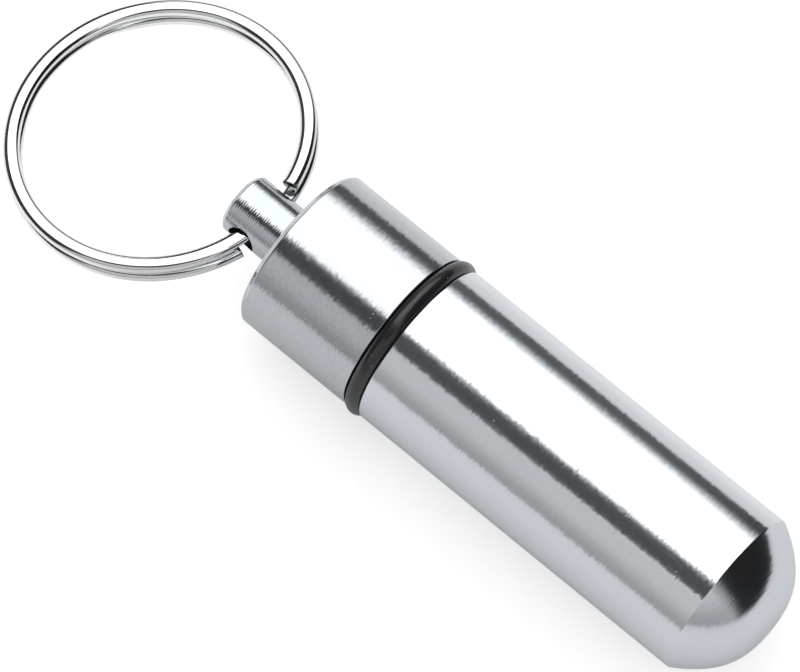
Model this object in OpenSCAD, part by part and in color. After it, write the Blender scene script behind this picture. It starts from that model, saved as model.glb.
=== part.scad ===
// Pill fob keychain: a turned two-part capsule with a seal and a split ring.
// X runs along the capsule towards its domed end, Z is up, and the origin is
// the centre of the capsule body's shoulder, which the seal rests against.

/* [Capsule body] */
// Outside diameter of the capsule, the same on body and cap
capsule_d = 17; // [16.6:0.1:20]
// Straight length of the body from its shoulder to the edge of the dome
barrel_l = 37.1; // [25:0.1:60]
// Height of the domed end
dome_h = 5.07; // [3:0.01:8]
// Fullness of the dome: 2 is a plain paraboloid, more is flatter with a tighter edge
dome_power = 2.9; // [2:0.1:4]
// Thickness of the end wall at the tip of the dome
dome_wall = 3.6; // [2.6:0.1:6]
// Corner radius at the bottom of the pill chamber
chamber_round = 2.2; // [0.5:0.1:3.5]
// Break on the sharp edges of the body's shoulder and the cap's rim
rim_edge = 0.12; // [0.05:0.01:0.3]

/* [Threaded neck] */
// Length of the neck in front of the shoulder
neck_l = 7.6; // [6.5:0.1:8.6]
// Outside diameter of the neck, over the crests of its thread
neck_d = 13.7; // [13:0.1:13.8]
// Wall between the pill chamber and the crests of the thread
neck_wall = 1.35; // [1.1:0.05:2]
// Depth of the run-out groove between the seal's seat and the thread
runout_depth = 0.5; // [0.2:0.05:0.7]
// Width of the run-out groove
runout_w = 0.8; // [0.4:0.1:1.5]
// Lead-in chamfer at the neck's free end
lead_in = 0.5; // [0.2:0.05:0.7]
// Edge break at the mouth of the pill chamber
mouth_edge = 0.3; // [0.1:0.05:0.4]

/* [Seal] */
// Inside diameter of the O-ring
seal_id = 14.1; // [14.1:0.1:14.4]
// Cord diameter of the O-ring
seal_cord = 1.8; // [1.5:0.05:2]
// Clearance between the O-ring and its seat, all round
seal_fit = 0.05; // [0.02:0.01:0.1]
// Clearance between the O-ring and each face beside it
seal_side = 0.025; // [0.01:0.005:0.05]

/* [Cap] */
// Length of the cap without its stud
cap_l = 12.97; // [12:0.01:18]
// Chamfer round the top edge of the cap
cap_edge = 0.5; // [0.2:0.05:1]
// Thickness of the cap's top wall
cap_wall = 2.4; // [1.5:0.1:3.2]
// Radial clearance between the neck and the cap's bore
neck_fit = 0.08; // [0.03:0.01:0.1]
// Length of the cap's bore past the end of the neck
bore_spare = 1.6; // [0.5:0.1:2]
// Width of the undercut at the end of the cap's thread
undercut_w = 1; // [0.5:0.1:1.5]
// Depth of the undercut below the bore
undercut_depth = 0.25; // [0.1:0.05:0.5]
// Step from the bore down to the cap's inner pocket
pocket_step = 0.5; // [0.2:0.05:0.8]
// Corner radius at the bottom of the pocket
pocket_round = 0.6; // [0.2:0.05:0.9]

/* [Key stud] */
// Diameter of the stud on top of the cap
stud_d = 6.1; // [5.6:0.1:8]
// Length of the stud
stud_l = 7; // [6.5:0.1:10]
// Chamfer round the end of the stud
stud_edge = 0.4; // [0.1:0.05:0.6]
// Diameter of the cross hole that carries the split ring
hole_d = 3; // [3:0.1:3.6]
// Distance of the cross hole from the top of the cap
hole_pos = 4.42; // [3.5:0.01:4.6]

/* [Split ring] */
// Outside diameter of the split ring
ring_d = 29.9; // [24:0.1:36]
// Width of the flattened wire across the ring
wire_w = 1.65; // [1.4:0.05:1.7]
// Thickness of one layer of wire
wire_t = 0.9; // [0.7:0.05:0.95]
// Gap between the two layers
layer_gap = 0.42; // [0.41:0.01:0.45]
// How far the wire sits off the cross hole's axis, towards the cap
wire_lean = 0.46; // [0:0.01:0.5]
// How far the ring has slid sideways through the cross hole
ring_shift = 0.78; // [-1.5:0.01:1.5]
// Angle at which the ring lies below the capsule's axis
ring_slope = 12.07; // [0:0.01:40]
// Angle round the ring from the cross hole to the upper layer's end
upper_end = 16.1; // [15:0.1:40]
// Angle round the ring from the cross hole to the lower layer's end
lower_end = 13.9; // [13.5:0.1:40]
// Half of the angle in which the wire climbs from one layer to the other
climb_arc = 12; // [9:0.1:12.5]
// How far each wire end is sprung away from the other layer
end_spread = 0.25; // [0:0.01:0.5]
// Angle over which a wire end springs away
spread_arc = 30; // [10:1:60]

/* [Hidden] */
// Facets round a turned surface
$fn = 96;
// Straight steps in a turned corner, and along the dome's outline
corner_steps = 5;
dome_steps = 26;
// Points round each rounded edge of the wire
edge_points = 6;
// Angle of one step along the wire, on the plain layers and in the climb
plain_step = 5;
climb_step = 2;
// Length by which a drill passes the surface that it breaks
drill_over = 1;

capsule_r = capsule_d / 2;
dome_tip = barrel_l + dome_h;
neck_r = neck_d / 2;
chamber_r = neck_r - neck_wall;
chamber_end = dome_tip - dome_wall;
seat_r = seal_id / 2 - seal_fit;
seal_space = seal_cord + 2 * seal_side;
// The seal's seat ends just short of the cap's rim, clear of the cap's bore
seat_l = seal_space - rim_edge;

cap_rim = -seal_space;
cap_top = cap_rim - cap_l;
bore_r = neck_r + neck_fit;
bore_end = -neck_l - bore_spare;
pocket_r = bore_r - pocket_step;
pocket_end = cap_top + cap_wall;
stud_r = stud_d / 2;
stud_end = cap_top - stud_l;
hole_x = cap_top - hole_pos;

// Radius of the wire's centre line, and the pitch from layer to layer
wire_r = (ring_d - wire_w) / 2;
layer_pitch = wire_t + layer_gap;
// Direction of the cross hole from the centre of the ring
hole_angle = -asin(ring_shift / wire_r);
ring_offset = wire_r * cos(hole_angle) - wire_lean;

// Points of an arc about a centre, from one angle to another
function arc(centre, r, from, to, steps) = [
    for (i = [0:steps])
        let (angle = from + (to - from) * i / steps)
            [centre[0] + r * cos(angle), centre[1] + r * sin(angle)]
];

// Even steps from one value to another, no wider than a step
function spaced(from, to, step) =
    let (count = ceil((to - from) / step))
        [for (i = [0:count]) from + (to - from) * i / count];

// A list without its first item
function rest(items) = [for (i = [1:len(items) - 1]) items[i]];

// A solid turned about the X axis from an outline of [radius, x] points
module turned(outline) {
    rotate([0, 90, 0]) rotate_extrude() polygon(outline);
}

// Outline of the dome, from its tip to its edge: the fall from the tip grows
// with a power of the radius, which gives a flat crown and a tight shoulder
dome_outline = [
    for (i = [0:dome_steps])
        let (share = sin(90 * i / dome_steps))
            [capsule_r * share, barrel_l + dome_h * (1 - pow(share, dome_power))]
];

// Outline of the pill chamber's bottom corner, from the wall to the bottom
chamber_corner = arc(
    [chamber_r - chamber_round, chamber_end - chamber_round], chamber_round,
    0, 90, corner_steps
);

// Hollow capsule body: domed tube, shoulder, seat for the seal and neck
module capsule_body() {
    color("silver") turned(concat(
        dome_outline,
        [
            [capsule_r, rim_edge],
            [capsule_r - rim_edge, 0],
            [seat_r, 0],
            [seat_r, -seat_l],
            [neck_r - runout_depth, -seat_l],
            [neck_r - runout_depth, -seat_l - runout_w],
            [neck_r, -seat_l - runout_w - runout_depth],
            [neck_r, -neck_l + lead_in],
            [neck_r - lead_in, -neck_l],
            [chamber_r + mouth_edge, -neck_l],
            [chamber_r, -neck_l + mouth_edge]
        ],
        chamber_corner,
        [[0, chamber_end]]
    ));
}

// Rubber O-ring between the body's shoulder and the cap's rim
module o_ring() {
    color("#202124")
        translate([cap_rim / 2, 0, 0])
            rotate([0, 90, 0])
                rotate_extrude()
                    translate([(seal_id + seal_cord) / 2, 0])
                        circle(d = seal_cord);
}

// Outline of the pocket's bottom corner, from the wall to the bottom
pocket_corner = arc(
    [pocket_r - pocket_round, pocket_end + pocket_round], pocket_round,
    0, -90, corner_steps
);

// Screw cap with its key stud, turned from one bar and bored from the rim
module cap() {
    color("silver") difference() {
        turned(concat(
            [
                [0, stud_end],
                [stud_r - stud_edge, stud_end],
                [stud_r, stud_end + stud_edge],
                [stud_r, cap_top],
                [capsule_r - cap_edge, cap_top],
                [capsule_r, cap_top + cap_edge],
                [capsule_r, cap_rim - rim_edge],
                [capsule_r - rim_edge, cap_rim],
                [bore_r + lead_in, cap_rim],
                [bore_r, cap_rim - lead_in],
                [bore_r, bore_end],
                [bore_r + undercut_depth, bore_end - undercut_depth],
                [bore_r + undercut_depth, bore_end - undercut_w],
                [pocket_r, bore_end - undercut_w]
            ],
            pocket_corner,
            [[0, pocket_end]]
        ));
        translate([hole_x, 0, 0])
            rotate([90, 0, 0])
                cylinder(d = hole_d, h = stud_d + 2 * drill_over, center = true);
    }
}

// Section of the wire as [across, up] points: flat faces, rounded edges
wire_section = concat(
    arc([(wire_w - wire_t) / 2, 0], wire_t / 2, -90, 90, edge_points - 1),
    arc([(wire_t - wire_w) / 2, 0], wire_t / 2, 90, 270, edge_points - 1)
);

// Angles along the wire, counted from the cross hole: it starts at the upper
// layer's end, goes once round, climbs through the hole and goes round again
lap = 360;
wire_start = upper_end;
wire_end = 2 * lap - lower_end;
climb_start = lap - climb_arc;
climb_end = lap + climb_arc;
stations = concat(
    spaced(wire_start, climb_start, plain_step),
    rest(spaced(climb_start, climb_end, climb_step)),
    rest(spaced(climb_end, wire_end, plain_step))
);

// Smooth step from -1 to 1 as t goes from -1 to 1, and its slope
function eased(t) = let (u = min(1, max(-1, t))) (3 * u - pow(u, 3)) / 2;
function eased_slope(t) = abs(t) < 1 ? 3 * (1 - pow(t, 2)) / 2 : 0;

// How far a wire end has sprung away, from 0 inside the layer to 1 at its end
function sprung(angle_to_end) = pow(max(0, 1 - angle_to_end / spread_arc), 2);

// Height of the wire's centre line above the ring's middle plane
function wire_height(s) =
    -layer_pitch / 2 * eased((s - lap) / climb_arc)
    + end_spread * sprung(s - wire_start)
    - end_spread * sprung(wire_end - s);

// Steepness of the climb, as height over length along the wire
function wire_rise(s) =
    -layer_pitch / 2 * eased_slope((s - lap) / climb_arc) / (climb_arc * PI / 180 * wire_r);

// The wire's section at one station, square to the wire, in the ring's plane
function wire_ring(s) =
    let (
        angle = hole_angle + s,
        tilt = atan(wire_rise(s)),
        height = wire_height(s)
    ) [
        for (p = wire_section) let (
            r = wire_r + p[0],
            along = -p[1] * sin(tilt)
        ) [
            r * cos(angle) - along * sin(angle) - ring_offset,
            r * sin(angle) + along * cos(angle) + ring_shift,
            height + p[1] * cos(tilt)
        ]
    ];

// A closed tube through rings of points: quads as triangle pairs, fans as ends
module tube(rings) {
    sides = len(rings[0]);
    last = len(rings) - 1;
    function index(ring, side) = ring * sides + side % sides;
    walls = [
        for (k = [0:last - 1], i = [0:sides - 1])
            each [
                [index(k, i), index(k, i + 1), index(k + 1, i + 1)],
                [index(k, i), index(k + 1, i + 1), index(k + 1, i)]
            ]
    ];
    near_end = [for (i = [1:sides - 2]) [index(0, 0), index(0, i + 1), index(0, i)]];
    far_end = [
        for (i = [1:sides - 2])
            [index(last, 0), index(last, i), index(last, i + 1)]
    ];
    polyhedron(
        points = [for (ring = rings) each ring],
        faces = concat(walls, near_end, far_end)
    );
}

wire_rings = [for (s = stations) wire_ring(s)];

// Least distance from a point of the wire to the layer one lap further on,
// measured from each section to that lap's sections beside and opposite it
least_gap = min([
    for (s = spaced(wire_start, wire_end - lap, climb_step), beside = [-climb_step, 0, climb_step])
        for (a = wire_ring(s), b = wire_ring(s + lap + beside)) norm(a - b)
]);
echo(least_gap_between_ring_layers = least_gap);

// Split ring, hung in the cross hole at the slope at which it lies
module split_ring() {
    color("gainsboro")
        translate([hole_x, 0, 0])
            rotate([0, -ring_slope, 0])
                tube(wire_rings);
}

capsule_body();
o_ring();
cap();
split_ring();
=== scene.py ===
"""Pill fob keychain: detailed pieces, finishes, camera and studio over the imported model."""
import math

import bmesh
import bpy
from bpy.props import FloatProperty, FloatVectorProperty, IntProperty, PointerProperty
from mathutils import Matrix, Vector


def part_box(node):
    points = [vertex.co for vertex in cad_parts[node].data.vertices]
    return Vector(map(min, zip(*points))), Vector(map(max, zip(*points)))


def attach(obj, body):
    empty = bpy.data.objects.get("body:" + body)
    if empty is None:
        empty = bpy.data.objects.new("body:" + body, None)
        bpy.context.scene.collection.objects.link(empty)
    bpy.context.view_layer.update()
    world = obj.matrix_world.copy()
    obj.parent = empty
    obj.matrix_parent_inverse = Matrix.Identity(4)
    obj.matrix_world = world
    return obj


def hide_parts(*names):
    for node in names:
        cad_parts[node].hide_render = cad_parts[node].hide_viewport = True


bl_info = {
    "name": "Pill fob keychain",
    "version": (1, 0, 0),
    "blender": (4, 5, 0),
    "location": "3D View > Sidebar > Pill fob",
    "description": "Dresses the packed pill fob: capsule, screw cap, seal, split ring and studio",
    "category": "Add Mesh",
}

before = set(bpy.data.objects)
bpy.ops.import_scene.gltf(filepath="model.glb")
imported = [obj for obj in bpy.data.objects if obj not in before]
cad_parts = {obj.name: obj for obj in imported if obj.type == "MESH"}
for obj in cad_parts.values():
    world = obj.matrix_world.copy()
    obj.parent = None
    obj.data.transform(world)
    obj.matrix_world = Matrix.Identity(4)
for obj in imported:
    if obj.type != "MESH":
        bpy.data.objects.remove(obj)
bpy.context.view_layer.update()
BODY_LOW, BODY_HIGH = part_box("capsule_body")
CAP_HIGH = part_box("cap")[1]
SEAL_LOW, SEAL_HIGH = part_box("o_ring")

MM = 0.001
MICRON = 0.001 * MM
TOUCH = 0.01 * MM
WELD = 0.0001 * MM
AIM = (-1.85177 * MM, -0.49488 * MM, 0.0)
ROUND_STEPS = 192
SEAL_STEPS = 160
CORNER_STEPS = 5
WIRE_CORNER_STEPS = 8
WALL_STEPS = 48
ARCH_STEPS = 40
BLACK = (0.0, 0.0, 0.0, 1.0)
WHITE = (1.0, 1.0, 1.0, 1.0)


def length(name, description, default):
    """A length in metres that shows in the scene's own unit."""
    return FloatProperty(
        name=name, description=description, default=default, unit="LENGTH", precision=5, min=0.0
    )


def turn(name, description, degrees):
    """An angle, written in degrees."""
    return FloatProperty(
        name=name, description=description, default=math.radians(degrees), subtype="ANGLE"
    )


def colour(name, description, rgb):
    """A linear colour."""
    return FloatVectorProperty(
        name=name, description=description, default=rgb, subtype="COLOR", size=3, min=0.0, max=1.0
    )


def share(name, description, default):
    """A number from 0 to 1."""
    return FloatProperty(
        name=name, description=description, default=default, subtype="FACTOR", min=0.0, max=1.0
    )


class FobCapsuleSizes(bpy.types.PropertyGroup):
    """Sizes of the capsule body"""

    diameter: length("Diameter", "Outside diameter of body and cap", round(BODY_HIGH.z * 2, 5))
    barrel: length("Barrel", "Straight length from the shoulder to the dome", 0.0371)
    dome_height: length("Dome height", "Height of the domed end", 0.00507)
    dome_fullness: FloatProperty(
        name="Dome fullness", description="2 is round, more is flatter with a tighter edge", default=2.9
    )
    neck_length: length("Neck", "Length of the threaded neck", round(-BODY_LOW.x, 5))
    chamber_radius: length("Chamber radius", "Inside radius of the pill chamber", 0.0055)
    chamber_end: length("Chamber end", "From the shoulder to the chamber's bottom", 0.03857)
    seat_radius: length("Seat radius", "Radius of the plain seat under the seal", 0.007)
    seat_length: length("Seat length", "Length of the plain seat under the seal", 0.00173)
    rim: length("Rim break", "Rounding on the edge of the shoulder", 0.00012)


class FobThreadSizes(bpy.types.PropertyGroup):
    """Sizes of the screw thread on neck and cap"""

    pitch: length("Pitch", "Travel in one turn", 0.001)
    crest: length("Crest radius", "Radius over the neck's thread", 0.00685)
    root: length("Root radius", "Radius under the neck's thread", 0.0063)
    bore: length("Bore radius", "Radius of the cap's bore at the root of its thread", 0.00693)
    inner: length("Cap crest radius", "Radius inside the cap's thread", 0.00645)
    neck_flat: length("Neck crest", "Half the flat of the neck thread's crest", 0.000075)
    cap_flat: length("Cap crest", "Half the flat of the cap thread's crest", 0.00013)
    lead: length("Lead", "From the neck's end to the first ridge", 0.00045)
    sunk: length("Sunk", "How deep a ridge is sunk into its wall", 0.0001)
    run_out: length("Run-out", "Depth at which a thread's ends vanish", 0.00003)
    neck_plain: length("Plain neck", "Length of the neck without thread", 0.0031)
    bore_plain: length("Plain bore", "Length of the cap's bore without thread", 0.0013)
    facets: IntProperty(name="Facets", description="Steps in one turn of the thread", default=96, min=24)


class FobSealSizes(bpy.types.PropertyGroup):
    """Sizes of the rubber seal"""

    inside: length("Inside diameter", "Inside diameter of the seal", 0.0141)
    cord: length("Cord diameter", "Thickness of the seal", 0.0018)


class FobCapSizes(bpy.types.PropertyGroup):
    """Sizes of the screw cap and its stud"""

    rim_place: length("Rim distance", "From the shoulder to the cap's rim", round(-CAP_HIGH.x, 5))
    length: length("Length", "Length of the cap without its stud", 0.01297)
    edge: length("Top edge", "Bevel round the top of the cap", 0.0005)
    wall: length("Top wall", "Thickness of the cap's top", 0.0024)
    bore_end: length("Bore end", "From the shoulder to the bore's end", 0.0092)
    undercut: length("Undercut depth", "Depth of the groove at the end of the thread", 0.00025)
    pocket_radius: length("Pocket radius", "Inside radius of the pocket over the pills", 0.00643)
    stud_diameter: length("Stud diameter", "Diameter of the key stud", 0.0061)
    stud_length: length("Stud length", "Length of the key stud", 0.007)
    stud_edge: length("Stud edge", "Bevel round the end of the stud", 0.0004)
    hole_diameter: length("Hole diameter", "Diameter of the cross hole", 0.003)
    hole_place: length("Hole place", "From the cap's top to the cross hole", 0.00442)


class FobRingSizes(bpy.types.PropertyGroup):
    """Sizes of the split ring"""

    diameter: length("Diameter", "Outside diameter of the ring", 0.0299)
    wire_width: length("Wire width", "Width of the flattened wire", 0.00165)
    wire_thickness: length("Thickness in the hole", "Thickness of the wire in the cross hole", 0.0009)
    wire_edge: length("Wire edge", "Corner radius of the flattened wire", 0.00055)
    shown_width: length("Shown width", "Width of the flattened wire over its bright face", 0.00159)
    shown_thickness: length("Wire thickness", "Thickness of one layer clear of the hole", 0.00118)
    shown_gap: length("Shown gap", "Gap between the layers clear of the hole", 0.00036)
    shown_top: length("Top", "Height of the upper layer's face over the ring's middle", 0.00095)
    settle_arc: turn("Settle arc", "Angle over which the wire takes its full thickness", 22.0)
    far_end: turn("Far end", "Half the angle at the far end where the layers lie closer", 16.0)
    gap: length("Layer gap", "Gap between the two layers", 0.00042)
    lean: length("Lean", "How far the wire sits off the hole's middle", 0.00046)
    shift: length("Shift", "How far the ring has slid through the hole", 0.00078)
    slope: turn("Slope", "Angle at which the ring lies below the axis", 12.07)
    upper_end: turn("Upper end", "Angle from the hole to the upper wire end", 16.1)
    lower_end: turn("Lower end", "Angle from the hole to the lower wire end", 13.9)
    climb: turn("Climb", "Half the angle in which the wire changes layer", 12.0)
    spread: length("Spread", "How far each wire end is sprung away", 0.00025)
    spread_arc: turn("Spread arc", "Angle over which a wire end springs away", 30.0)


class FobFinish(bpy.types.PropertyGroup):
    """Colours and polish of the materials"""

    body_metal: colour("Body metal", "Colour of the polished body", (0.86, 0.905, 0.955))
    cap_metal: colour("Cap metal", "Colour of the cap and stud", (0.635, 0.67, 0.71))
    ring_metal: colour("Ring metal", "Colour of the plated ring", (0.915, 0.925, 0.935))
    rubber: colour("Rubber", "Colour of the seal", (0.013, 0.013, 0.0165))
    body_polish: share("Body roughness", "Roughness of the polished body", 0.115)
    cap_polish: share("Cap roughness", "Roughness of the cap", 0.125)
    ring_polish: share("Ring roughness", "Roughness of the ring's plating", 0.06)
    rubber_polish: share("Rubber roughness", "Roughness of the seal", 0.22)
    body_hairs: share("Body turning marks", "Strength of the body's turning marks", 0.021)
    cap_hairs: share("Cap turning marks", "Strength of the cap's turning marks", 0.026)


class FobStudio(bpy.types.PropertyGroup):
    """Camera and studio"""

    azimuth: turn("Azimuth", "Direction of the camera, from -Y towards +X", 36.0855)
    elevation: turn("Elevation", "Height of the camera over the floor's plane", 67.9146)
    roll: turn("Roll", "Turn of the camera about its own axis", 5.0306)
    distance: length("Distance", "From the camera to the point it aims at", 0.647756)
    lens: FloatProperty(name="Lens", description="Focal length in millimetres", default=315.0)
    floor: colour("Floor", "Colour of the floor", (0.66, 0.66, 0.66))
    softbox: FloatProperty(name="Softbox", description="Brightness of the soft light", default=1.55)
    world: FloatProperty(name="Room light", description="Brightness of the room", default=0.85)


GROUPS = (
    ("fob_capsule", FobCapsuleSizes, "Capsule body"),
    ("fob_thread", FobThreadSizes, "Thread"),
    ("fob_seal", FobSealSizes, "Seal"),
    ("fob_cap", FobCapSizes, "Cap"),
    ("fob_ring", FobRingSizes, "Split ring"),
    ("fob_finish", FobFinish, "Finish"),
    ("fob_studio", FobStudio, "Studio"),
)


def with_guards(corners, guard=0.04 * MM):
    """Adds a point each side of every rounded corner, so that long faces shade flat."""
    out = []
    last = len(corners) - 1
    for i, (x, radius, rounding) in enumerate(corners):
        here = Vector((x, radius))
        near = []
        for j in (i - 1, i + 1):
            if rounding > 0 and 0 <= j <= last:
                there = Vector(corners[j][:2])
                reach = rounding + guard
                if (there - here).length > reach + corners[j][2] + 2 * guard:
                    spot = here + (there - here).normalized() * reach
                    near.append((j < i, (spot.x, spot.y, 0.0)))
        out += [spot for before, spot in near if before]
        out.append((x, radius, rounding))
        out += [spot for before, spot in near if not before]
    return out


def move(bm, spot, angle=0.0, axis="X"):
    """Turns everything about an axis through the origin, then moves it to a spot."""
    matrix = Matrix.Translation(spot) @ Matrix.Rotation(angle, 4, axis)
    bmesh.ops.transform(bm, matrix=matrix, verts=bm.verts[:])


def round_off(bm, parts, amount, segments, affect="VERTICES"):
    """Rounds corners or edges."""
    bmesh.ops.bevel(
        bm, geom=parts, offset=amount, offset_type="OFFSET", segments=segments, profile=0.5,
        affect=affect, material=-1,
    )


def spin_closed(bm, steps):
    """Turns an outline once about the X axis into a closed shell."""
    bmesh.ops.spin(
        bm, geom=bm.verts[:] + bm.edges[:], cent=(0, 0, 0), axis=(1, 0, 0), dvec=(0, 0, 0),
        angle=math.tau, steps=steps, use_merge=True, use_duplicate=False,
    )
    bmesh.ops.remove_doubles(bm, verts=bm.verts[:], dist=WELD)
    bmesh.ops.recalc_face_normals(bm, faces=bm.faces[:])


def sweep(bm, parts, axis, angle, steps, rise=(0, 0, 0)):
    """Sweeps parts about an axis through the origin, with the same rise at every step."""
    bmesh.ops.spin(
        bm, geom=parts, cent=(0, 0, 0), axis=axis, dvec=rise, angle=angle, steps=steps,
        use_merge=False, use_duplicate=False,
    )


def spin_outline(bm, corners):
    """Makes a turned shell from an outline of (x, radius, rounding) corners."""
    verts = []
    rounded = {}
    for x, radius, rounding in with_guards(corners):
        verts.append(bm.verts.new((x, 0.0, radius)))
        if rounding > 0:
            rounded.setdefault(round(rounding, 6), []).append(verts[-1])
    for a, b in zip(verts, verts[1:]):
        bm.edges.new((a, b))
    for rounding, corner_verts in rounded.items():
        round_off(bm, corner_verts, rounding, CORNER_STEPS)
    spin_closed(bm, ROUND_STEPS)


def thread_section(first, half_flat, crest, wall, sink):
    """Section of one ridge of a 60 degree thread, sunk a little into the wall it stands on.

    The points of outer and inner threads go the same way round."""
    foot = abs(crest - wall) * math.tan(math.radians(30)) + half_flat
    points = [
        (first - foot, wall + sink), (first - foot, wall), (first - half_flat, crest),
        (first + half_flat, crest), (first + foot, wall), (first + foot, wall + sink),
    ]
    return points if crest > wall else points[:1] + points[:0:-1]


def wind_thread(bm, section, thread, turns, wall, fade=0.6, least=0.04):
    """Winds a closed (x, radius) section along X and lets both ends run out into the wall.

    It is wound in its own bmesh, because spinning is slow inside a large one."""
    coil = bmesh.new()
    start = coil.verts.layers.float.new("start")
    verts = [coil.verts.new((x, 0.0, radius)) for x, radius in section]
    for vert in verts:
        vert[start] = vert.co.x
    coil.faces.new(verts)
    count = round(turns * thread.facets)
    ridge = coil.verts[:] + coil.edges[:] + coil.faces[:]
    rise = (thread.pitch / thread.facets, 0, 0)
    sweep(coil, ridge, (1, 0, 0), math.tau * count / thread.facets, count, rise)
    for vert in coil.verts:
        along = (vert.co.x - vert[start]) / thread.pitch
        grown = min(1.0, along / fade, (turns - along) / fade)
        radius = math.hypot(vert.co.y, vert.co.z)
        wanted = wall + (radius - wall) * (least + (1 - least) * max(0.0, grown))
        vert.co.y *= wanted / radius
        vert.co.z *= wanted / radius
    coil.verts.layers.float.remove(start)
    bmesh.ops.recalc_face_normals(coil, faces=coil.faces[:])
    spare = bpy.data.meshes.new("coil")
    coil.to_mesh(spare)
    coil.free()
    bm.from_mesh(spare)
    bpy.data.meshes.remove(spare)


def shade_smooth(bm, sharp=25.0):
    """Shades faces smooth, but for creases sharper than an angle in degrees."""
    for face in bm.faces:
        face.smooth = True
    for line in bm.edges:
        line.smooth = line.calc_face_angle(0.0) < math.radians(sharp)


def mark_wear(bm, distance, width=0.22 * MM):
    """Notes how near each point is to a worn edge."""
    edge = bm.verts.layers.float.new("edge")
    for vert in bm.verts:
        vert[edge] = math.exp(-distance(vert.co) / width)


def mark_inside(bm, test):
    """Notes which points lie on inner walls."""
    inside = bm.verts.layers.float.new("inside")
    for vert in bm.verts:
        vert[inside] = 1.0 if test(vert.co, math.hypot(vert.co.y, vert.co.z)) else 0.0


def from_corners(corners):
    """Distance of a point from the nearest rounded corner of a turned outline."""
    spots = [(x, radius) for x, radius, rounding in corners if radius > 0 and rounding > 0]

    def distance(co):
        radius = math.hypot(co.y, co.z)
        return min(math.hypot(co.x - x, radius - r) for x, r in spots)

    return distance


def make_object(name, bm):
    """Makes an object at the origin from a bmesh."""
    mesh = bpy.data.meshes.new(name)
    bm.to_mesh(mesh)
    bm.free()
    obj = bpy.data.objects.new(name, mesh)
    bpy.context.scene.collection.objects.link(obj)
    return obj


def seat_piece(obj, node, body, material):
    """Gives a piece its body, the CAD node that it stands for and its finish."""
    obj.data.materials.clear()
    obj.data.materials.append(material)
    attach(obj, body)
    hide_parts(node)


class Nodes:
    """A short way to place and join shader nodes in one tree."""

    def __init__(self, tree):
        self.tree = tree
        self.place = 0

    def add(self, kind, inputs=(), **settings):
        """Places a node, sets its options, and fills or joins its inputs."""
        node = self.tree.nodes.new(kind)
        node.location = (self.place % 8 * 190, -(self.place // 8) * 260)
        self.place += 1
        for key, value in settings.items():
            setattr(node, key, value)
        for key, value in dict(inputs).items():
            self.fill(node.inputs[key], value)
        return node

    def fill(self, socket, value):
        """Joins a socket to another, or sets its value."""
        if isinstance(value, bpy.types.NodeSocket):
            self.tree.links.new(value, socket)
        else:
            socket.default_value = value

    def math(self, operation, a, b=0.0, clamp=False):
        """One sum."""
        node = self.add("ShaderNodeMath", {0: a, 1: b}, operation=operation, use_clamp=clamp)
        return node.outputs[0]

    def spread(self, value, low, high, to_low=0.0, to_high=1.0, smooth=False):
        """Maps one range of values to another."""
        kind = "SMOOTHSTEP" if smooth else "LINEAR"
        pairs = {"Value": value, "From Min": low, "From Max": high, "To Min": to_low, "To Max": to_high}
        return self.add("ShaderNodeMapRange", pairs, interpolation_type=kind).outputs[0]

    def mix(self, factor, a, b):
        """Mixes two colours."""
        node = self.add("ShaderNodeMix", data_type="RGBA")
        self.fill(node.inputs[0], factor)
        self.fill(node.inputs[6], a)
        self.fill(node.inputs[7], b)
        return node.outputs[2]

    def noise(self, vector, scale=1.0, detail=2.0, roughness=0.5):
        """Even noise round 0.5."""
        inputs = {"Vector": vector, "Scale": scale, "Detail": detail, "Roughness": roughness}
        return self.add("ShaderNodeTexNoise", inputs).outputs["Fac"]

    def vector(self, operation, a, b):
        """One sum of vectors."""
        return self.add("ShaderNodeVectorMath", {0: a, 1: b}, operation=operation).outputs[0]

    def stretched(self, vector, along, round_it):
        """Coordinates scaled along X and round it."""
        scale = self.add("ShaderNodeCombineXYZ", {0: along, 1: round_it, 2: round_it}).outputs[0]
        return self.add("ShaderNodeMapping", {"Vector": vector, "Scale": scale}).outputs[0]

    def where(self):
        """Coordinates of the object itself."""
        return self.add("ShaderNodeTexCoord").outputs["Object"]

    def part(self, vector, axis):
        """One of a vector's three parts."""
        return self.add("ShaderNodeSeparateXYZ", {0: vector}).outputs[axis]

    def product(self, first, *others):
        """Several values multiplied."""
        for value in others:
            first = self.math("MULTIPLY", first, value)
        return first

    def scaled(self, vector, factor):
        """A vector made longer or shorter."""
        return self.add("ShaderNodeVectorMath", {0: vector, 3: factor}, operation="SCALE").outputs[0]

    def bump(self, height, **normal):
        """The normal of a surface raised by a height in microns."""
        inputs = {"Height": height, "Strength": 1.0, "Distance": MICRON, **normal}
        return self.add("ShaderNodeBump", inputs).outputs[0]


def rgba(rgb):
    """A colour with its alpha."""
    return (*rgb, 1.0)


def new_group(name, inputs, outputs):
    """Starts a node group whose sockets are floats, apart from a normal."""
    tree = bpy.data.node_groups.new(name, "ShaderNodeTree")
    for label, value in inputs:
        socket = tree.interface.new_socket(label, in_out="INPUT", socket_type="NodeSocketFloat")
        socket.default_value = value
    for label in outputs:
        kind = "NodeSocketVector" if label == "Normal" else "NodeSocketFloat"
        tree.interface.new_socket(label, in_out="OUTPUT", socket_type=kind)
    nodes = Nodes(tree)
    return tree, nodes, nodes.add("NodeGroupInput").outputs, nodes.add("NodeGroupOutput").inputs


def grain_group():
    """Fine polishing streaks that run along the piece."""
    tree, n, given, out = new_group("Polishing grain", [("Across", 6000.0), ("Along", 60.0)], ["Grain"])
    streaks = n.noise(n.stretched(n.where(), given["Along"], given["Across"]), 1.0, 3.0, 0.6)
    n.fill(out["Grain"], streaks)
    return tree


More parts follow.
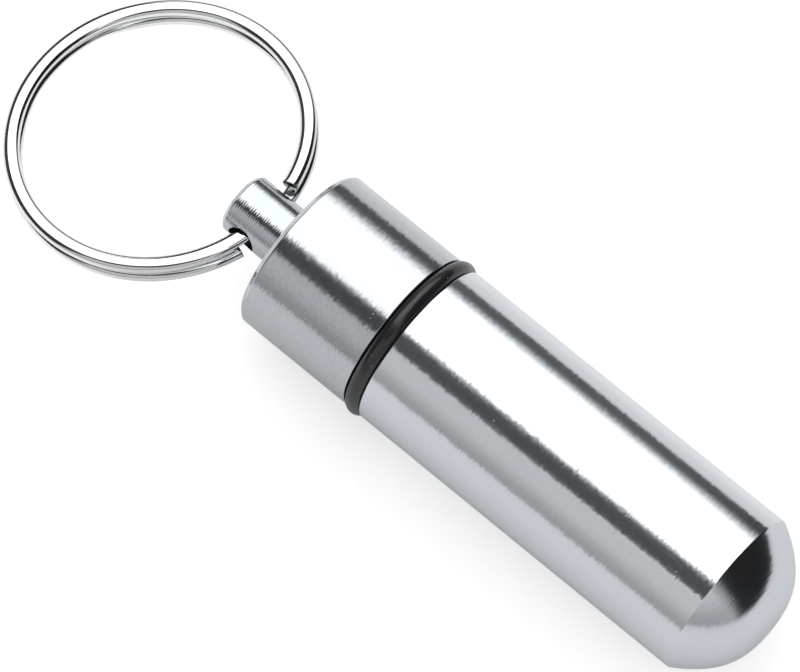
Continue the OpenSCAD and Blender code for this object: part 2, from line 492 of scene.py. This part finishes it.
def turning_group():
    """Marks that a cutting tool and the polishing leave round a turned piece.

    Hairs and grooves tilt the surface round the axis, which gives reflections ragged edges,
    and scuff tilts it along the piece."""
    tree, n, given, out = new_group(
        "Turning marks", [("Hairs", 0.02), ("Grooves", 0.0), ("Pitch", 0.00023), ("Scuff", 0.0)],
        ["Normal", "Groove", "Line"],
    )
    where = n.where()
    facing = n.add("ShaderNodeNewGeometry").outputs["Normal"]
    tangent = n.vector("CROSS_PRODUCT", (1.0, 0.0, 0.0), facing)

    def unevenness(along, round_it, detail, roughness, amount):
        value = n.noise(n.stretched(where, along, round_it), 1.0, detail, roughness)
        return n.product(n.math("SUBTRACT", value, 0.5), amount, 6.0)

    hair = unevenness(12500.0, 1500.0, 1.5, 0.65, given["Hairs"])
    scuff = unevenness(12000.0, 220.0, 2.0, 0.6, given["Scuff"])
    drift = n.product(n.noise(where, 700.0, 2.0), 1.2)
    turns = n.math("ADD", n.math("DIVIDE", n.part(where, 0), given["Pitch"]), drift)
    wave = n.math("SINE", n.product(turns, math.tau))
    uneven = n.spread(n.noise(n.stretched(where, 4500.0, 1200.0), 1.0, 2.0), 0.3, 0.7, 0.2, 1.8)
    groove = n.product(wave, uneven, given["Grooves"])
    round_axis = n.scaled(tangent, n.math("ADD", hair, groove))
    lengthwise = n.scaled(n.vector("CROSS_PRODUCT", facing, tangent), scuff)
    leaned = n.vector("ADD", n.vector("ADD", facing, round_axis), lengthwise)
    n.fill(out["Normal"], n.vector("NORMALIZE", leaned, (0.0, 0.0, 0.0)))
    n.fill(out["Groove"], n.spread(wave, -1.0, 1.0))
    n.fill(out["Line"], n.noise(n.stretched(where, 8000.0, 150.0), 1.0, 2.0, 0.5))
    return tree


def marks_group():
    """Hairline scratches in two directions, and specks of dust."""
    inputs = [("Scratches", 0.5), ("Dust", 0.5)]
    tree, n, given, out = new_group("Handling marks", inputs, ["Scratch", "Speck"])
    where = n.where()
    lines = []
    for tilt, size in ((0.35, (90.0, 5200.0, 5200.0)), (-0.9, (60.0, 3600.0, 4300.0))):
        placed = n.add(
            "ShaderNodeMapping", {"Vector": where, "Rotation": (tilt, tilt * 0.6, tilt), "Scale": size}
        ).outputs[0]
        lines.append(n.spread(n.noise(placed, 1.0, 1.0), 0.68, 0.74))
    patches = n.spread(n.noise(where, 260.0, 2.0), 0.45, 0.7)
    n.fill(out["Scratch"], n.product(n.math("MAXIMUM", *lines), patches, given["Scratches"]))
    cells = n.add("ShaderNodeTexVoronoi", {"Vector": where, "Scale": 2200.0}, feature="F1")
    near = n.spread(cells.outputs["Distance"], 0.13, 0.08)
    pick = n.add("ShaderNodeSeparateColor", {0: cells.outputs["Color"]}).outputs[0]
    chosen = n.math("GREATER_THAN", pick, n.math("SUBTRACT", 1.0, given["Dust"]))
    n.fill(out["Speck"], n.product(near, chosen))
    return tree


def wear_group():
    """Where handling has rubbed the edges."""
    tree, n, given, out = new_group("Edge wear", [("Amount", 0.7)], ["Wear"])
    edge = n.add("ShaderNodeAttribute", attribute_name="edge").outputs["Fac"]
    broken = n.spread(n.noise(n.where(), 2600.0, 3.0), 0.3, 0.7)
    n.fill(out["Wear"], n.math("MULTIPLY", n.product(edge, broken), given["Amount"], clamp=True))
    return tree


def shared_groups():
    """The node groups, built once."""
    makers = {
        "Polishing grain": grain_group, "Turning marks": turning_group,
        "Handling marks": marks_group, "Edge wear": wear_group,
    }
    return {name: bpy.data.node_groups.get(name) or make() for name, make in makers.items()}


def blank_material(name):
    """Starts a material with no nodes."""
    material = bpy.data.materials.new(name)
    material.use_nodes = True
    material.node_tree.nodes.clear()
    return material, Nodes(material.node_tree)


def new_material(name):
    """Starts a material whose shader is joined to the output."""
    material, n = blank_material(name)
    shader = n.add("ShaderNodeBsdfPrincipled")
    n.add("ShaderNodeOutputMaterial", {"Surface": shader.outputs[0]})
    return material, n, shader.inputs


def use_group(n, name, **inputs):
    """Places a shared group with this material's own values."""
    node = n.add("ShaderNodeGroup", node_tree=shared_groups()[name])
    for key, value in inputs.items():
        n.fill(node.inputs[key], value)
    return node.outputs


def turned_metal(name, rgb, roughness, hairs, dome=None, stud=None, inner_tone=0.82):
    """Polished metal with turning marks, scratches, dust and worn edges, and painted shade on points marked
    inside.

    Past the x called dome it is duller, and before the x called stud it is rough turned, with painted shade
    in its groove floors, fainter towards +Y."""
    worn_tone = (0.95, 0.95, 0.95, 1.0)
    dust_tone = (0.9, 0.9, 0.9, 1.0)
    material, n, shader = new_material(name)
    shader["Metallic"].default_value = 1.0
    streaks = use_group(n, "Polishing grain", Across=5200.0, Along=45.0)["Grain"]
    marks = use_group(n, "Handling marks", Scratches=0.5, Dust=0.06)
    wear = use_group(n, "Edge wear", Amount=0.8)["Wear"]
    inside = n.add("ShaderNodeAttribute", attribute_name="inside").outputs["Fac"]
    where = n.where()
    x = n.part(where, 0)
    grooves = 0.0
    scuff = 0.0
    duller = 0.0
    if stud is not None:
        # Groove depth on the stud, used for its bumps and for painted shade in the groove floors, fainter
        # towards +Y.
        deeper = n.spread(x, stud - 1.4 * MM, stud - 0.6 * MM, 0.055, 0.12)
        fainter = n.spread(n.part(where, 1), 0.2 * MM, 1.8 * MM, 1.0, 0.3)
        grooves = n.product(n.spread(x, stud, stud - 0.2 * MM), deeper, fainter)
    if dome is not None:
        crease = dome + 0.2 * MM
        scuff = n.spread(x, dome, dome + 0.4 * MM, 0.0, 0.035)
        hairs = n.spread(x, dome, crease, hairs, hairs * 0.4)
        duller = n.spread(x, dome, crease, 0.0, 0.035)
    cut = use_group(n, "Turning marks", Hairs=hairs, Grooves=grooves, Scuff=scuff)
    # Painted shade: points marked inside, the inner walls of chamber and pocket, get a base colour darkened
    # to inner_tone and are rougher; on the ring the mark holds its cut ends, which are darkened the same
    # way.
    inner = n.spread(inside, 0.0, 1.0, 1.0, inner_tone)
    lines = n.spread(cut["Line"], 0.3, 0.7, 0.965, 1.0)
    # Painted shade: the base colour is darker along the groove wave, in the stud's groove floors.
    groove_shade = n.math("SUBTRACT", 1.0, n.product(cut["Groove"], grooves, 0.6))
    base = n.mix(n.product(inner, lines, groove_shade), BLACK, rgba(rgb))
    base = n.mix(n.product(wear, 0.5), base, worn_tone)
    base = n.mix(n.product(marks["Speck"], 0.8), base, dust_tone)
    n.fill(shader["Base Color"], base)
    rough = n.math("ADD", roughness - 0.03, duller)
    added = (
        (streaks, 0.06), (marks["Scratch"], 0.12), (wear, 0.08), (inside, 0.16), (marks["Speck"], 0.5)
    )
    for mark, amount in added:
        rough = n.math("ADD", rough, n.product(mark, amount))
    n.fill(shader["Roughness"], rough)
    height = n.math("SUBTRACT", n.product(cut["Line"], 0.6), n.product(marks["Scratch"], 0.5))
    n.fill(shader["Normal"], n.bump(height, Normal=cut["Normal"]))
    return material


def seal_rubber(rgb, roughness):
    """Black rubber with a fine skin, dust and a rubbed mould line."""
    darker = (0.009, 0.009, 0.01, 1.0)
    rubbed_tone = (0.025, 0.025, 0.025, 1.0)
    dust_tone = (0.35, 0.35, 0.34, 1.0)
    material, n, shader = new_material("Seal rubber")
    shader["Specular IOR Level"].default_value = 0.75
    where = n.where()
    skin = n.noise(where, 9000.0, 3.0)
    cloud = n.noise(where, 500.0, 3.0)
    marks = use_group(n, "Handling marks", Scratches=0.4, Dust=0.12)
    wear = use_group(n, "Edge wear", Amount=0.8)["Wear"]
    base = n.mix(n.spread(cloud, 0.3, 0.75), rgba(rgb), darker)
    base = n.mix(n.product(wear, 0.35), base, rubbed_tone)
    base = n.mix(n.product(marks["Speck"], 0.7), base, dust_tone)
    n.fill(shader["Base Color"], base)
    rough = n.spread(cloud, 0.2, 0.8, roughness - 0.06, roughness + 0.1)
    n.fill(shader["Roughness"], n.math("ADD", rough, n.product(marks["Scratch"], 0.2)))
    height = n.math("ADD", n.product(skin, 2.0), n.product(wear, 6.0))
    n.fill(shader["Normal"], n.bump(height))
    return material


def capsule_outline(sizes, thread, dome_steps=64, left_out=6):
    """Outline of the capsule body from the dome's tip, round the neck, to the chamber's bottom.

    The dome's last steps are left out, to make room for its rounded crease."""
    crease = 0.06 * MM
    hollow = 0.04 * MM
    seat_edge = 0.08 * MM
    seat_slope = 0.1 * MM
    mouth = 0.25 * MM
    bottom = 2.2 * MM
    radius = sizes.diameter / 2
    dome = []
    for i in range(dome_steps - left_out):
        s = math.sin(math.pi / 2 * i / dome_steps)
        dome.append((sizes.barrel + sizes.dome_height * (1 - s ** sizes.dome_fullness), radius * s, 0.0))
    seat = -sizes.seat_length
    return dome + [
        (sizes.barrel, radius, crease),
        (0.0, radius, sizes.rim),
        (0.0, sizes.seat_radius, hollow),
        (seat, sizes.seat_radius, seat_edge),
        (seat - seat_slope, thread.root, hollow),
        (-sizes.neck_length, thread.root, mouth),
        (-sizes.neck_length, sizes.chamber_radius, mouth),
        (sizes.chamber_end, sizes.chamber_radius, bottom),
        (sizes.chamber_end, 0.0, 0.0),
    ]


class FOB_OT_capsule(bpy.types.Operator):
    """Makes the domed capsule body with its threaded neck"""

    bl_idname = "fob.capsule"
    bl_label = "Capsule body"

    def execute(self, context):
        """Turns the body, winds its thread and seats it."""
        scene = context.scene
        sizes = scene.fob_capsule
        thread = scene.fob_thread
        bm = bmesh.new()
        corners = capsule_outline(sizes, thread)
        spin_outline(bm, corners)
        first = thread.lead - sizes.neck_length
        section = thread_section(first, thread.neck_flat, thread.crest, thread.root, -thread.sunk)
        turns = (sizes.neck_length - thread.neck_plain) / thread.pitch
        wind_thread(bm, section, thread, turns, thread.root - thread.run_out)
        wall = thread.root - 0.2 * MM
        bottom = sizes.chamber_end + TOUCH
        mark_inside(bm, lambda co, radius: radius < wall and co.x < bottom)
        to_corner = from_corners(corners)

        def to_edge(co):
            to_crest = abs(math.hypot(co.y, co.z) - thread.crest)
            return min(to_corner(co), to_crest * 3)

        mark_wear(bm, to_edge)
        shade_smooth(bm)
        finish = scene.fob_finish
        metal = turned_metal(
            "Body metal", finish.body_metal, finish.body_polish, finish.body_hairs, dome=sizes.barrel
        )
        seat_piece(make_object("capsule_shell", bm), "capsule_body", "capsule", metal)
        return {"FINISHED"}


class FOB_OT_seal(bpy.types.Operator):
    """Makes the black rubber seal between body and cap"""

    bl_idname = "fob.seal"
    bl_label = "Seal"

    def execute(self, context):
        """Spins the seal's round cord about the axis."""
        sizes = context.scene.fob_seal
        middle = (SEAL_LOW.x + SEAL_HIGH.x) / 2
        ring = (sizes.inside + sizes.cord) / 2
        bm = bmesh.new()
        bmesh.ops.create_circle(bm, segments=40, radius=sizes.cord / 2)
        move(bm, (middle, 0, ring), math.pi / 2)
        spin_closed(bm, SEAL_STEPS)
        outer = ring + sizes.cord / 2

        def to_mould_line(co):
            return abs(co.x - middle) + 3 * (outer - math.hypot(co.y, co.z))

        mark_wear(bm, to_mould_line, 0.06 * MM)
        shade_smooth(bm)
        finish = context.scene.fob_finish
        rubber = seal_rubber(finish.rubber, finish.rubber_polish)
        seat_piece(make_object("seal_ring", bm), "o_ring", "seal", rubber)
        return {"FINISHED"}


def cap_outline(sizes, radius, rim, thread):
    """Outline of the cap from the stud's end, over the rim, to the pocket's bottom.

    Rings of points along the stud keep the faces round its cross hole short."""
    stud_round = 0.06 * MM
    foot_round = 0.1 * MM
    top_round = 0.08 * MM
    mouth_round = 0.05 * MM
    pocket_round = 0.6 * MM
    mouth = 0.5 * MM
    top = -sizes.rim_place - sizes.length
    stud = sizes.stud_diameter / 2
    end = top - sizes.stud_length
    undercut = thread.bore + sizes.undercut
    undercut_end = -sizes.bore_end - MM
    pocket = top + sizes.wall
    rings = [(end + (1.2 + 0.3 * i) * MM, stud, 0.0) for i in range(14)]
    return [
        (end, 0.0, 0.0),
        (end, stud - sizes.stud_edge, stud_round),
        (end + sizes.stud_edge, stud, stud_round),
        *rings,
        (top, stud, foot_round),
        (top, radius - sizes.edge, top_round),
        (top + sizes.edge, radius, top_round),
        (-sizes.rim_place, radius, rim),
        (-sizes.rim_place, thread.bore + mouth, mouth_round),
        (-sizes.rim_place - mouth, thread.bore, 0.0),
        (-sizes.bore_end, thread.bore, 0.0),
        (-sizes.bore_end - sizes.undercut, undercut, 0.0),
        (undercut_end, undercut, 0.0),
        (undercut_end, sizes.pocket_radius, top_round),
        (pocket, sizes.pocket_radius, pocket_round),
        (pocket, 0.0, 0.0),
    ]


def cross_hole_x(cap):
    """Place of the cross hole along the axis."""
    return -cap.rim_place - cap.length - cap.hole_place


def drill_cross_hole(bm, x, radius, depth):
    """Drills a round hole along Y, clean through, with a Boolean on a spare object."""
    shell = make_object("cap_blank", bm)
    tool = bmesh.new()
    bmesh.ops.create_cone(
        tool, cap_ends=True, cap_tris=False, segments=96, radius1=radius, radius2=radius, depth=depth
    )
    move(tool, (x, 0, 0), math.pi / 2)
    bmesh.ops.recalc_face_normals(tool, faces=tool.faces[:])
    drill = make_object("drill", tool)
    cut = shell.modifiers.new("Cross hole", "BOOLEAN")
    cut.operation = "DIFFERENCE"
    cut.solver = "MANIFOLD"
    cut.object = drill
    bpy.context.view_layer.update()
    solid = shell.evaluated_get(bpy.context.evaluated_depsgraph_get())
    out = bmesh.new()
    out.from_mesh(solid.to_mesh())
    solid.to_mesh_clear()
    for spare in (shell, drill):
        mesh = spare.data
        bpy.data.objects.remove(spare)
        bpy.data.meshes.remove(mesh)
    if not out.faces:
        raise RuntimeError("the cross hole could not be drilled")
    return out


class FOB_OT_cap(bpy.types.Operator):
    """Makes the screw cap with its stud, cross hole and inner thread"""

    bl_idname = "fob.cap"
    bl_label = "Cap"

    def execute(self, context):
        """Turns the cap, drills it, winds its thread and seats it."""
        scene = context.scene
        sizes = scene.fob_cap
        thread = scene.fob_thread
        capsule = scene.fob_capsule
        top = -sizes.rim_place - sizes.length
        hole_x = cross_hole_x(sizes)
        hole = sizes.hole_diameter / 2
        stud = sizes.stud_diameter / 2
        corners = cap_outline(sizes, capsule.diameter / 2, capsule.rim, thread)
        bm = bmesh.new()
        spin_outline(bm, corners)
        bm = drill_cross_hole(bm, hole_x, hole, sizes.stud_diameter + 2 * MM)
        first = thread.lead - capsule.neck_length - 1.5 * thread.pitch
        section = thread_section(first, thread.cap_flat, thread.inner, thread.bore, thread.sunk)
        turns = (sizes.bore_end - sizes.rim_place - thread.bore_plain) / thread.pitch
        wind_thread(bm, section, thread, turns, thread.bore + thread.run_out)
        wall = capsule.diameter / 2 - 0.7 * MM
        rim = -sizes.rim_place - TOUCH
        mark_inside(bm, lambda co, radius: radius < wall and top + MM < co.x < rim)
        to_corner = from_corners(corners)

        def to_edge(co):
            to_hole = abs(math.hypot(co.x - hole_x, co.z) - hole)
            to_stud = abs(math.hypot(co.y, co.z) - stud)
            return min(to_corner(co), to_hole + to_stud)

        mark_wear(bm, to_edge)
        shade_smooth(bm)
        finish = scene.fob_finish
        metal = turned_metal("Cap metal", finish.cap_metal, finish.cap_polish, finish.cap_hairs, stud=top)
        seat_piece(make_object("cap_shell", bm), "cap", "cap", metal)
        return {"FINISHED"}


def eased(t):
    """A smooth step from -1 to 1."""
    u = min(1.0, max(-1.0, t))
    return (3 * u - u ** 3) / 2


def sprung(angle, arc):
    """How far a wire end has sprung away, from 0 inside the layer to 1 at its end."""
    return max(0.0, 1 - angle / arc) ** 2


class FOB_OT_ring(bpy.types.Operator):
    """Makes the split ring from one flattened wire in two layers"""

    bl_idname = "fob.ring"
    bl_label = "Split ring"

    def execute(self, context):
        """Winds the wire's section nearly two laps, shapes it along the way and seats it.

        It is wound as a rising coil first, so that a point's height tells how far along it lies."""
        coil_rise = 10 * MM
        step_angle = math.radians(1.25)
        at_end = 1e-6
        scene = context.scene
        sizes = scene.fob_ring
        radius = (sizes.diameter - sizes.wire_width) / 2
        begin = sizes.upper_end
        end = 2 * math.tau - sizes.lower_end
        total = end - begin
        steps = round(total / step_angle)
        hole_angle = -math.asin(sizes.shift / radius)
        bm = bmesh.new()
        self.draw_section(bm, sizes, radius)
        move(bm, (0, 0, 0), begin + hole_angle, "Z")
        section = bm.verts[:] + bm.edges[:] + bm.faces[:]
        sweep(bm, section, (0, 0, 1), total, steps, (0, 0, coil_rise / steps))
        across = bm.verts.layers.float["across"]
        up = bm.verts.layers.float["up"]
        inside = bm.verts.layers.float["inside"]
        offset = radius * math.cos(hole_angle) - sizes.lean
        end_verts = []
        for vert in bm.verts:
            s = begin + total * (vert.co.z - vert[up]) / coil_rise
            height, tilt, thickness = self.wire_at(sizes, s, begin, end, radius)
            rise = vert[up] * thickness / sizes.shown_thickness
            if min(s - begin, end - s) < at_end:
                end_verts.append(vert)
                vert[inside] = 1.0
            along = -rise * math.sin(tilt)
            r = radius + vert[across]
            angle = hole_angle + s
            vert.co = (
                r * math.cos(angle) - along * math.sin(angle) - offset,
                r * math.sin(angle) + along * math.cos(angle) + sizes.shift,
                height + rise * math.cos(tilt),
            )
        self.break_edges(bm, end_verts)
        move(bm, (cross_hole_x(scene.fob_cap), 0, 0), -sizes.slope, "Y")
        shade_smooth(bm, 35.0)
        finish = scene.fob_finish
        # The cut ends, marked inside, come out darker, to inner_tone, and rougher.
        steel = turned_metal("Ring plating", finish.ring_metal, finish.ring_polish, 0.0, inner_tone=0.4)
        seat_piece(make_object("split_ring_wire", bm), "split_ring", "ring", steel)
        return {"FINISHED"}

    def draw_section(self, bm, sizes, radius):
        """Draws the wire's section, a flat bar with rounded edges, and notes each point's place."""
        side_wear = 0.6
        across = bm.verts.layers.float.new("across")
        up = bm.verts.layers.float.new("up")
        bm.verts.layers.float.new("inside")
        edge = bm.verts.layers.float.new("edge")
        half_w = sizes.shown_width / 2
        half_t = sizes.shown_thickness / 2
        reach = sizes.wire_edge + 0.03 * MM
        outline = []
        for i, (right, top) in enumerate(((-1, -1), (1, -1), (1, 1), (-1, 1))):
            on_side = (right * half_w, top * (half_t - reach))
            on_face = (right * (half_w - reach), top * half_t)
            pair = (on_face, on_side) if i % 2 else (on_side, on_face)
            outline += [pair[0], (right * half_w, top * half_t), pair[1]]
        verts = [bm.verts.new((radius + x, 0, z)) for x, z in outline]
        bm.faces.new(verts)
        round_off(bm, verts[1::3], sizes.wire_edge, WIRE_CORNER_STEPS)
        for vert in bm.verts:
            vert[across] = vert.co.x - radius
            vert[up] = vert.co.z
            vert[edge] = side_wear if abs(vert[across]) > half_w * 0.8 else 0.0

    def wire_at(self, sizes, s, begin, end, radius):
        """Height, tilt and thickness of the wire at one angle along it.

        Its layers lie closer in the cross hole, and at the far end, which meets the capsule's side."""
        from_hole = abs(s - math.tau) - sizes.climb
        from_far_end = abs(s % math.tau - math.pi) - sizes.far_end
        settle = eased(2 * min(from_hole, from_far_end) / sizes.settle_arc - 1) / 2 + 0.5
        shown_upper = sizes.shown_top - sizes.shown_thickness / 2
        shown_lower = shown_upper - sizes.shown_thickness - sizes.shown_gap
        shown = shown_upper if s < math.tau else shown_lower
        close_upper = sizes.shown_top - sizes.wire_thickness / 2
        close_lower = -(sizes.wire_thickness + sizes.gap) / 2
        middle = (close_upper + close_lower) / 2
        climb = close_upper - middle
        t = (s - math.tau) / sizes.climb
        close = middle - climb * eased(t)
        height = close + (shown - close) * settle
        slope = 1.5 * (1 - t * t) if abs(t) < 1 else 0.0
        tilt = math.atan(-climb * slope / (sizes.climb * radius))
        height += sizes.spread * sprung(s - begin, sizes.spread_arc)
        height -= sizes.spread * sprung(end - s, sizes.spread_arc)
        thickness = sizes.wire_thickness + (sizes.shown_thickness - sizes.wire_thickness) * settle
        return height, tilt, thickness

    def break_edges(self, bm, end_verts):
        """Breaks the edges of both cut ends."""
        marked = set(end_verts)
        edges = [e for e in bm.edges if e.verts[0] in marked and e.verts[1] in marked]
        round_off(bm, edges, 0.04 * MM, 2, "EDGES")
        bmesh.ops.recalc_face_normals(bm, faces=bm.faces[:])


def glow(name, low, high, axis=2, start=0.0, end=1.0):
    """Plain light, graded from one level to another along an axis."""
    material, n = blank_material(name)
    graded = n.spread(n.part(n.where(), axis), start, end, smooth=True)
    shade = n.mix(graded, rgba([low] * 3), rgba([high] * 3))
    light = n.add("ShaderNodeEmission", {"Color": shade, "Strength": 1.0})
    n.add("ShaderNodeOutputMaterial", {"Surface": light.outputs[0]})
    return material


def card(name, bm, material, lights=False):
    """A studio card that shows in reflections, and lights the object if asked to."""
    obj = make_object(name, bm)
    obj.data.materials.append(material)
    obj.visible_camera = False
    obj.visible_diffuse = lights
    obj.visible_shadow = False
    obj.visible_volume_scatter = False
    return obj


def curved_wall(foot_z, radius, azimuth_from, azimuth_to, elevation):
    """A curved wall round the object, up to an elevation, all angles in degrees."""
    bm = bmesh.new()
    start = math.radians(azimuth_from)
    spot = (radius * math.cos(start), radius * math.sin(start))
    foot = bm.verts.new((*spot, foot_z))
    head = bm.verts.new((*spot, radius * math.tan(math.radians(elevation))))
    line = bm.edges.new((foot, head))
    sweep(bm, [foot, head, line], (0, 0, 1), math.radians(azimuth_to - azimuth_from), WALL_STEPS)
    return bm


class FOB_OT_stage(bpy.types.Operator):
    """Makes the camera, floor, room light, softbox and cards"""

    bl_idname = "fob.stage"
    bl_label = "Studio"

    def execute(self, context):
        """Sets up everything that isn't part of the object."""
        scene = context.scene
        studio = scene.fob_studio
        self.make_camera(scene, studio)
        self.make_world(scene, studio)
        self.make_floor(studio, SEAL_LOW.z)
        self.make_cards(studio, SEAL_LOW.z)
        scene.view_settings.view_transform = "Standard"
        return {"FINISHED"}

    def make_camera(self, scene, studio):
        """Places the camera by direction, distance and roll about its aim."""
        data = bpy.data.cameras.new("Camera")
        data.lens = studio.lens
        data.sensor_width = 36.0
        data.clip_start = 0.01
        camera = bpy.data.objects.new("Camera", data)
        scene.collection.objects.link(camera)
        flat = math.cos(studio.elevation)
        away = Vector((
            flat * math.sin(studio.azimuth), -flat * math.cos(studio.azimuth), math.sin(studio.elevation)
        ))
        right = Vector((0, 0, 1)).cross(away).normalized()
        up = away.cross(right)
        turned = right * math.cos(studio.roll) + up * math.sin(studio.roll)
        above = away.cross(turned)
        matrix = Matrix((turned, above, away)).transposed().to_4x4()
        matrix.translation = Vector(AIM) + away * studio.distance
        camera.matrix_world = matrix
        scene.camera = camera

    def make_world(self, scene, studio):
        """A white room: plain light on the object, white behind it and in its reflections."""
        world = bpy.data.worlds.new("Studio room")
        scene.world = world
        world.use_nodes = True
        world.node_tree.nodes.clear()
        n = Nodes(world.node_tree)
        path = n.add("ShaderNodeLightPath").outputs
        seen = n.math("MAXIMUM", path["Is Camera Ray"], path["Is Transmission Ray"])
        seen = n.math("MAXIMUM", seen, path["Is Glossy Ray"])
        level = n.spread(seen, 0.0, 1.0, studio.world, 1.0)
        light = n.add("ShaderNodeBackground", {"Color": WHITE, "Strength": level})
        n.add("ShaderNodeOutputWorld", {"Surface": light.outputs[0]})

    def make_floor(self, studio, z):
        """A pale round table that turns white before the camera and keeps the shadow; its colour holds
        painted light, lighter near the capsule on the +Y side and darker far off.

        Reflections see it a little brighter beside the capsule and under the ring, where it glows for glossy
        rays: a painted reflection."""
        camera_lift = 0.52
        beside_lift = 0.16
        ring_lift = 0.27
        bm = bmesh.new()
        bmesh.ops.create_circle(bm, cap_ends=True, segments=96, radius=0.46)
        move(bm, (10 * MM, 0, z))
        floor = make_object("floor", bm)
        material, n = blank_material("Pale table")
        where = n.where()
        x = n.part(where, 0)
        y = n.part(where, 1)
        # Painted light and shade: the floor's colour is lighter on the +Y side near the capsule and darker
        # far off along +Y.
        tone = n.spread(y, -0.012, 0.03, 0.98, 1.12, smooth=True)
        far = n.spread(y, 0.02, 0.12, 1.0, 0.85, smooth=True)
        base = n.mix(n.product(tone, far), BLACK, rgba(studio.floor))
        matt = n.add("ShaderNodeBsdfDiffuse", {"Color": base})
        # Painted light: beside the capsule and under the ring the floor glows for glossy rays only, a
        # painted brighter reflection in the metal.
        beside = n.product(
            n.spread(y, 0.008, 0.014, smooth=True), n.spread(y, 0.014, 0.055, beside_lift, 0.0, smooth=True),
            n.spread(x, 0.03, 0.042, 1.0, 0.0, smooth=True),
        )
        under_ring = n.product(
            n.spread(n.math("ABSOLUTE", y), 0.022, 0.04, ring_lift, 0.0, smooth=True),
            n.spread(x, -0.02, -0.032, smooth=True), n.spread(x, -0.075, -0.058, smooth=True),
        )
        path = n.add("ShaderNodeLightPath").outputs
        seen = n.product(path["Is Glossy Ray"], n.math("MAXIMUM", beside, under_ring))
        lift = n.math("ADD", n.product(path["Is Camera Ray"], camera_lift), seen)
        light = n.add("ShaderNodeEmission", {"Color": WHITE, "Strength": lift})
        both = n.add("ShaderNodeAddShader", {0: matt.outputs[0], 1: light.outputs[0]})
        n.add("ShaderNodeOutputMaterial", {"Surface": both.outputs[0]})
        floor.data.materials.append(material)

    def make_cards(self, studio, z):
        """Softbox overhead, dark flags on three sides and over the lens, grey card on the fourth.

        Each wall has its radius, azimuths and elevation, then its tones and where they change."""
        white = studio.softbox
        self.make_softbox(white)
        walls = (
            ("side_flag", (0.32, 68, 150, 36), (0.095, white, 2, 0.075, 0.23)),
            ("front_flag", (0.31, -18, 93, 75), (0.4, 0.015, 1, -0.085, -0.015)),
            ("grey_card", (0.42, -120, -10, 46), (0.33, 0.55, 2, 0.0, 0.25)),
            ("back_flag", (0.45, -212, -116, 41), (0.04, 0.04)),
        )
        for name, place, tones in walls:
            card(name, curved_wall(z, *place), glow(name.replace("_", " ").capitalize(), *tones))
        bm = bmesh.new()
        bmesh.ops.create_grid(bm, x_segments=1, y_segments=1, size=0.5)
        bmesh.ops.scale(bm, vec=(2.6, 0.415, 1.0), verts=bm.verts[:])
        move(bm, (-0.6, -0.3325, 0.6))
        card("lens_flag", bm, glow("Lens flag", 0.068, white, 1, -0.22, -0.128))

    def make_softbox(self, white, radius=0.5, tilt_from=24, tilt_to=105, ends=(-1.1, 0.0)):
        """The card that lights the object, an arch along X between two tilts in degrees."""
        bm = bmesh.new()
        start = math.radians(tilt_from)
        edge = [bm.verts.new((x, radius * math.cos(start), radius * math.sin(start))) for x in ends]
        line = bm.edges.new(edge)
        sweep(bm, [*edge, line], (1, 0, 0), math.radians(tilt_to - tilt_from), ARCH_STEPS)
        card("softbox", bm, glow("Softbox", white, white), lights=True)


class FOB_PT_panel(bpy.types.Panel):
    """Sizes and finishes of the pill fob"""

    bl_idname = "FOB_PT_panel"
    bl_label = "Pill fob keychain"
    bl_space_type = "VIEW_3D"
    bl_region_type = "UI"
    bl_category = "Pill fob"

    def draw(self, context):
        """Lists the operators, then each group of settings."""
        layout = self.layout
        for operator in OPERATORS:
            layout.operator(operator.bl_idname)
        for key, kind, label in GROUPS:
            box = layout.box()
            box.label(text=label)
            group = getattr(context.scene, key)
            for prop in kind.__annotations__:
                box.prop(group, prop)


OPERATORS = (FOB_OT_stage, FOB_OT_capsule, FOB_OT_seal, FOB_OT_cap, FOB_OT_ring)


def register():
    """Registers the settings, the operators and the panel."""
    for key, kind, label in GROUPS:
        bpy.utils.register_class(kind)
        setattr(bpy.types.Scene, key, PointerProperty(type=kind, name=label))
    for operator in OPERATORS:
        bpy.utils.register_class(operator)
    bpy.utils.register_class(FOB_PT_panel)


def unregister():
    """Takes everything out again."""
    bpy.utils.unregister_class(FOB_PT_panel)
    for operator in reversed(OPERATORS):
        bpy.utils.unregister_class(operator)
    for key, kind, label in reversed(GROUPS):
        delattr(bpy.types.Scene, key)
        bpy.utils.unregister_class(kind)


def main():
    """Makes the studio and the pieces in order."""
    register()
    bpy.ops.fob.stage()
    bpy.ops.fob.capsule()
    bpy.ops.fob.seal()
    bpy.ops.fob.cap()
    bpy.ops.fob.ring()


if __name__ == "__main__":
    main()
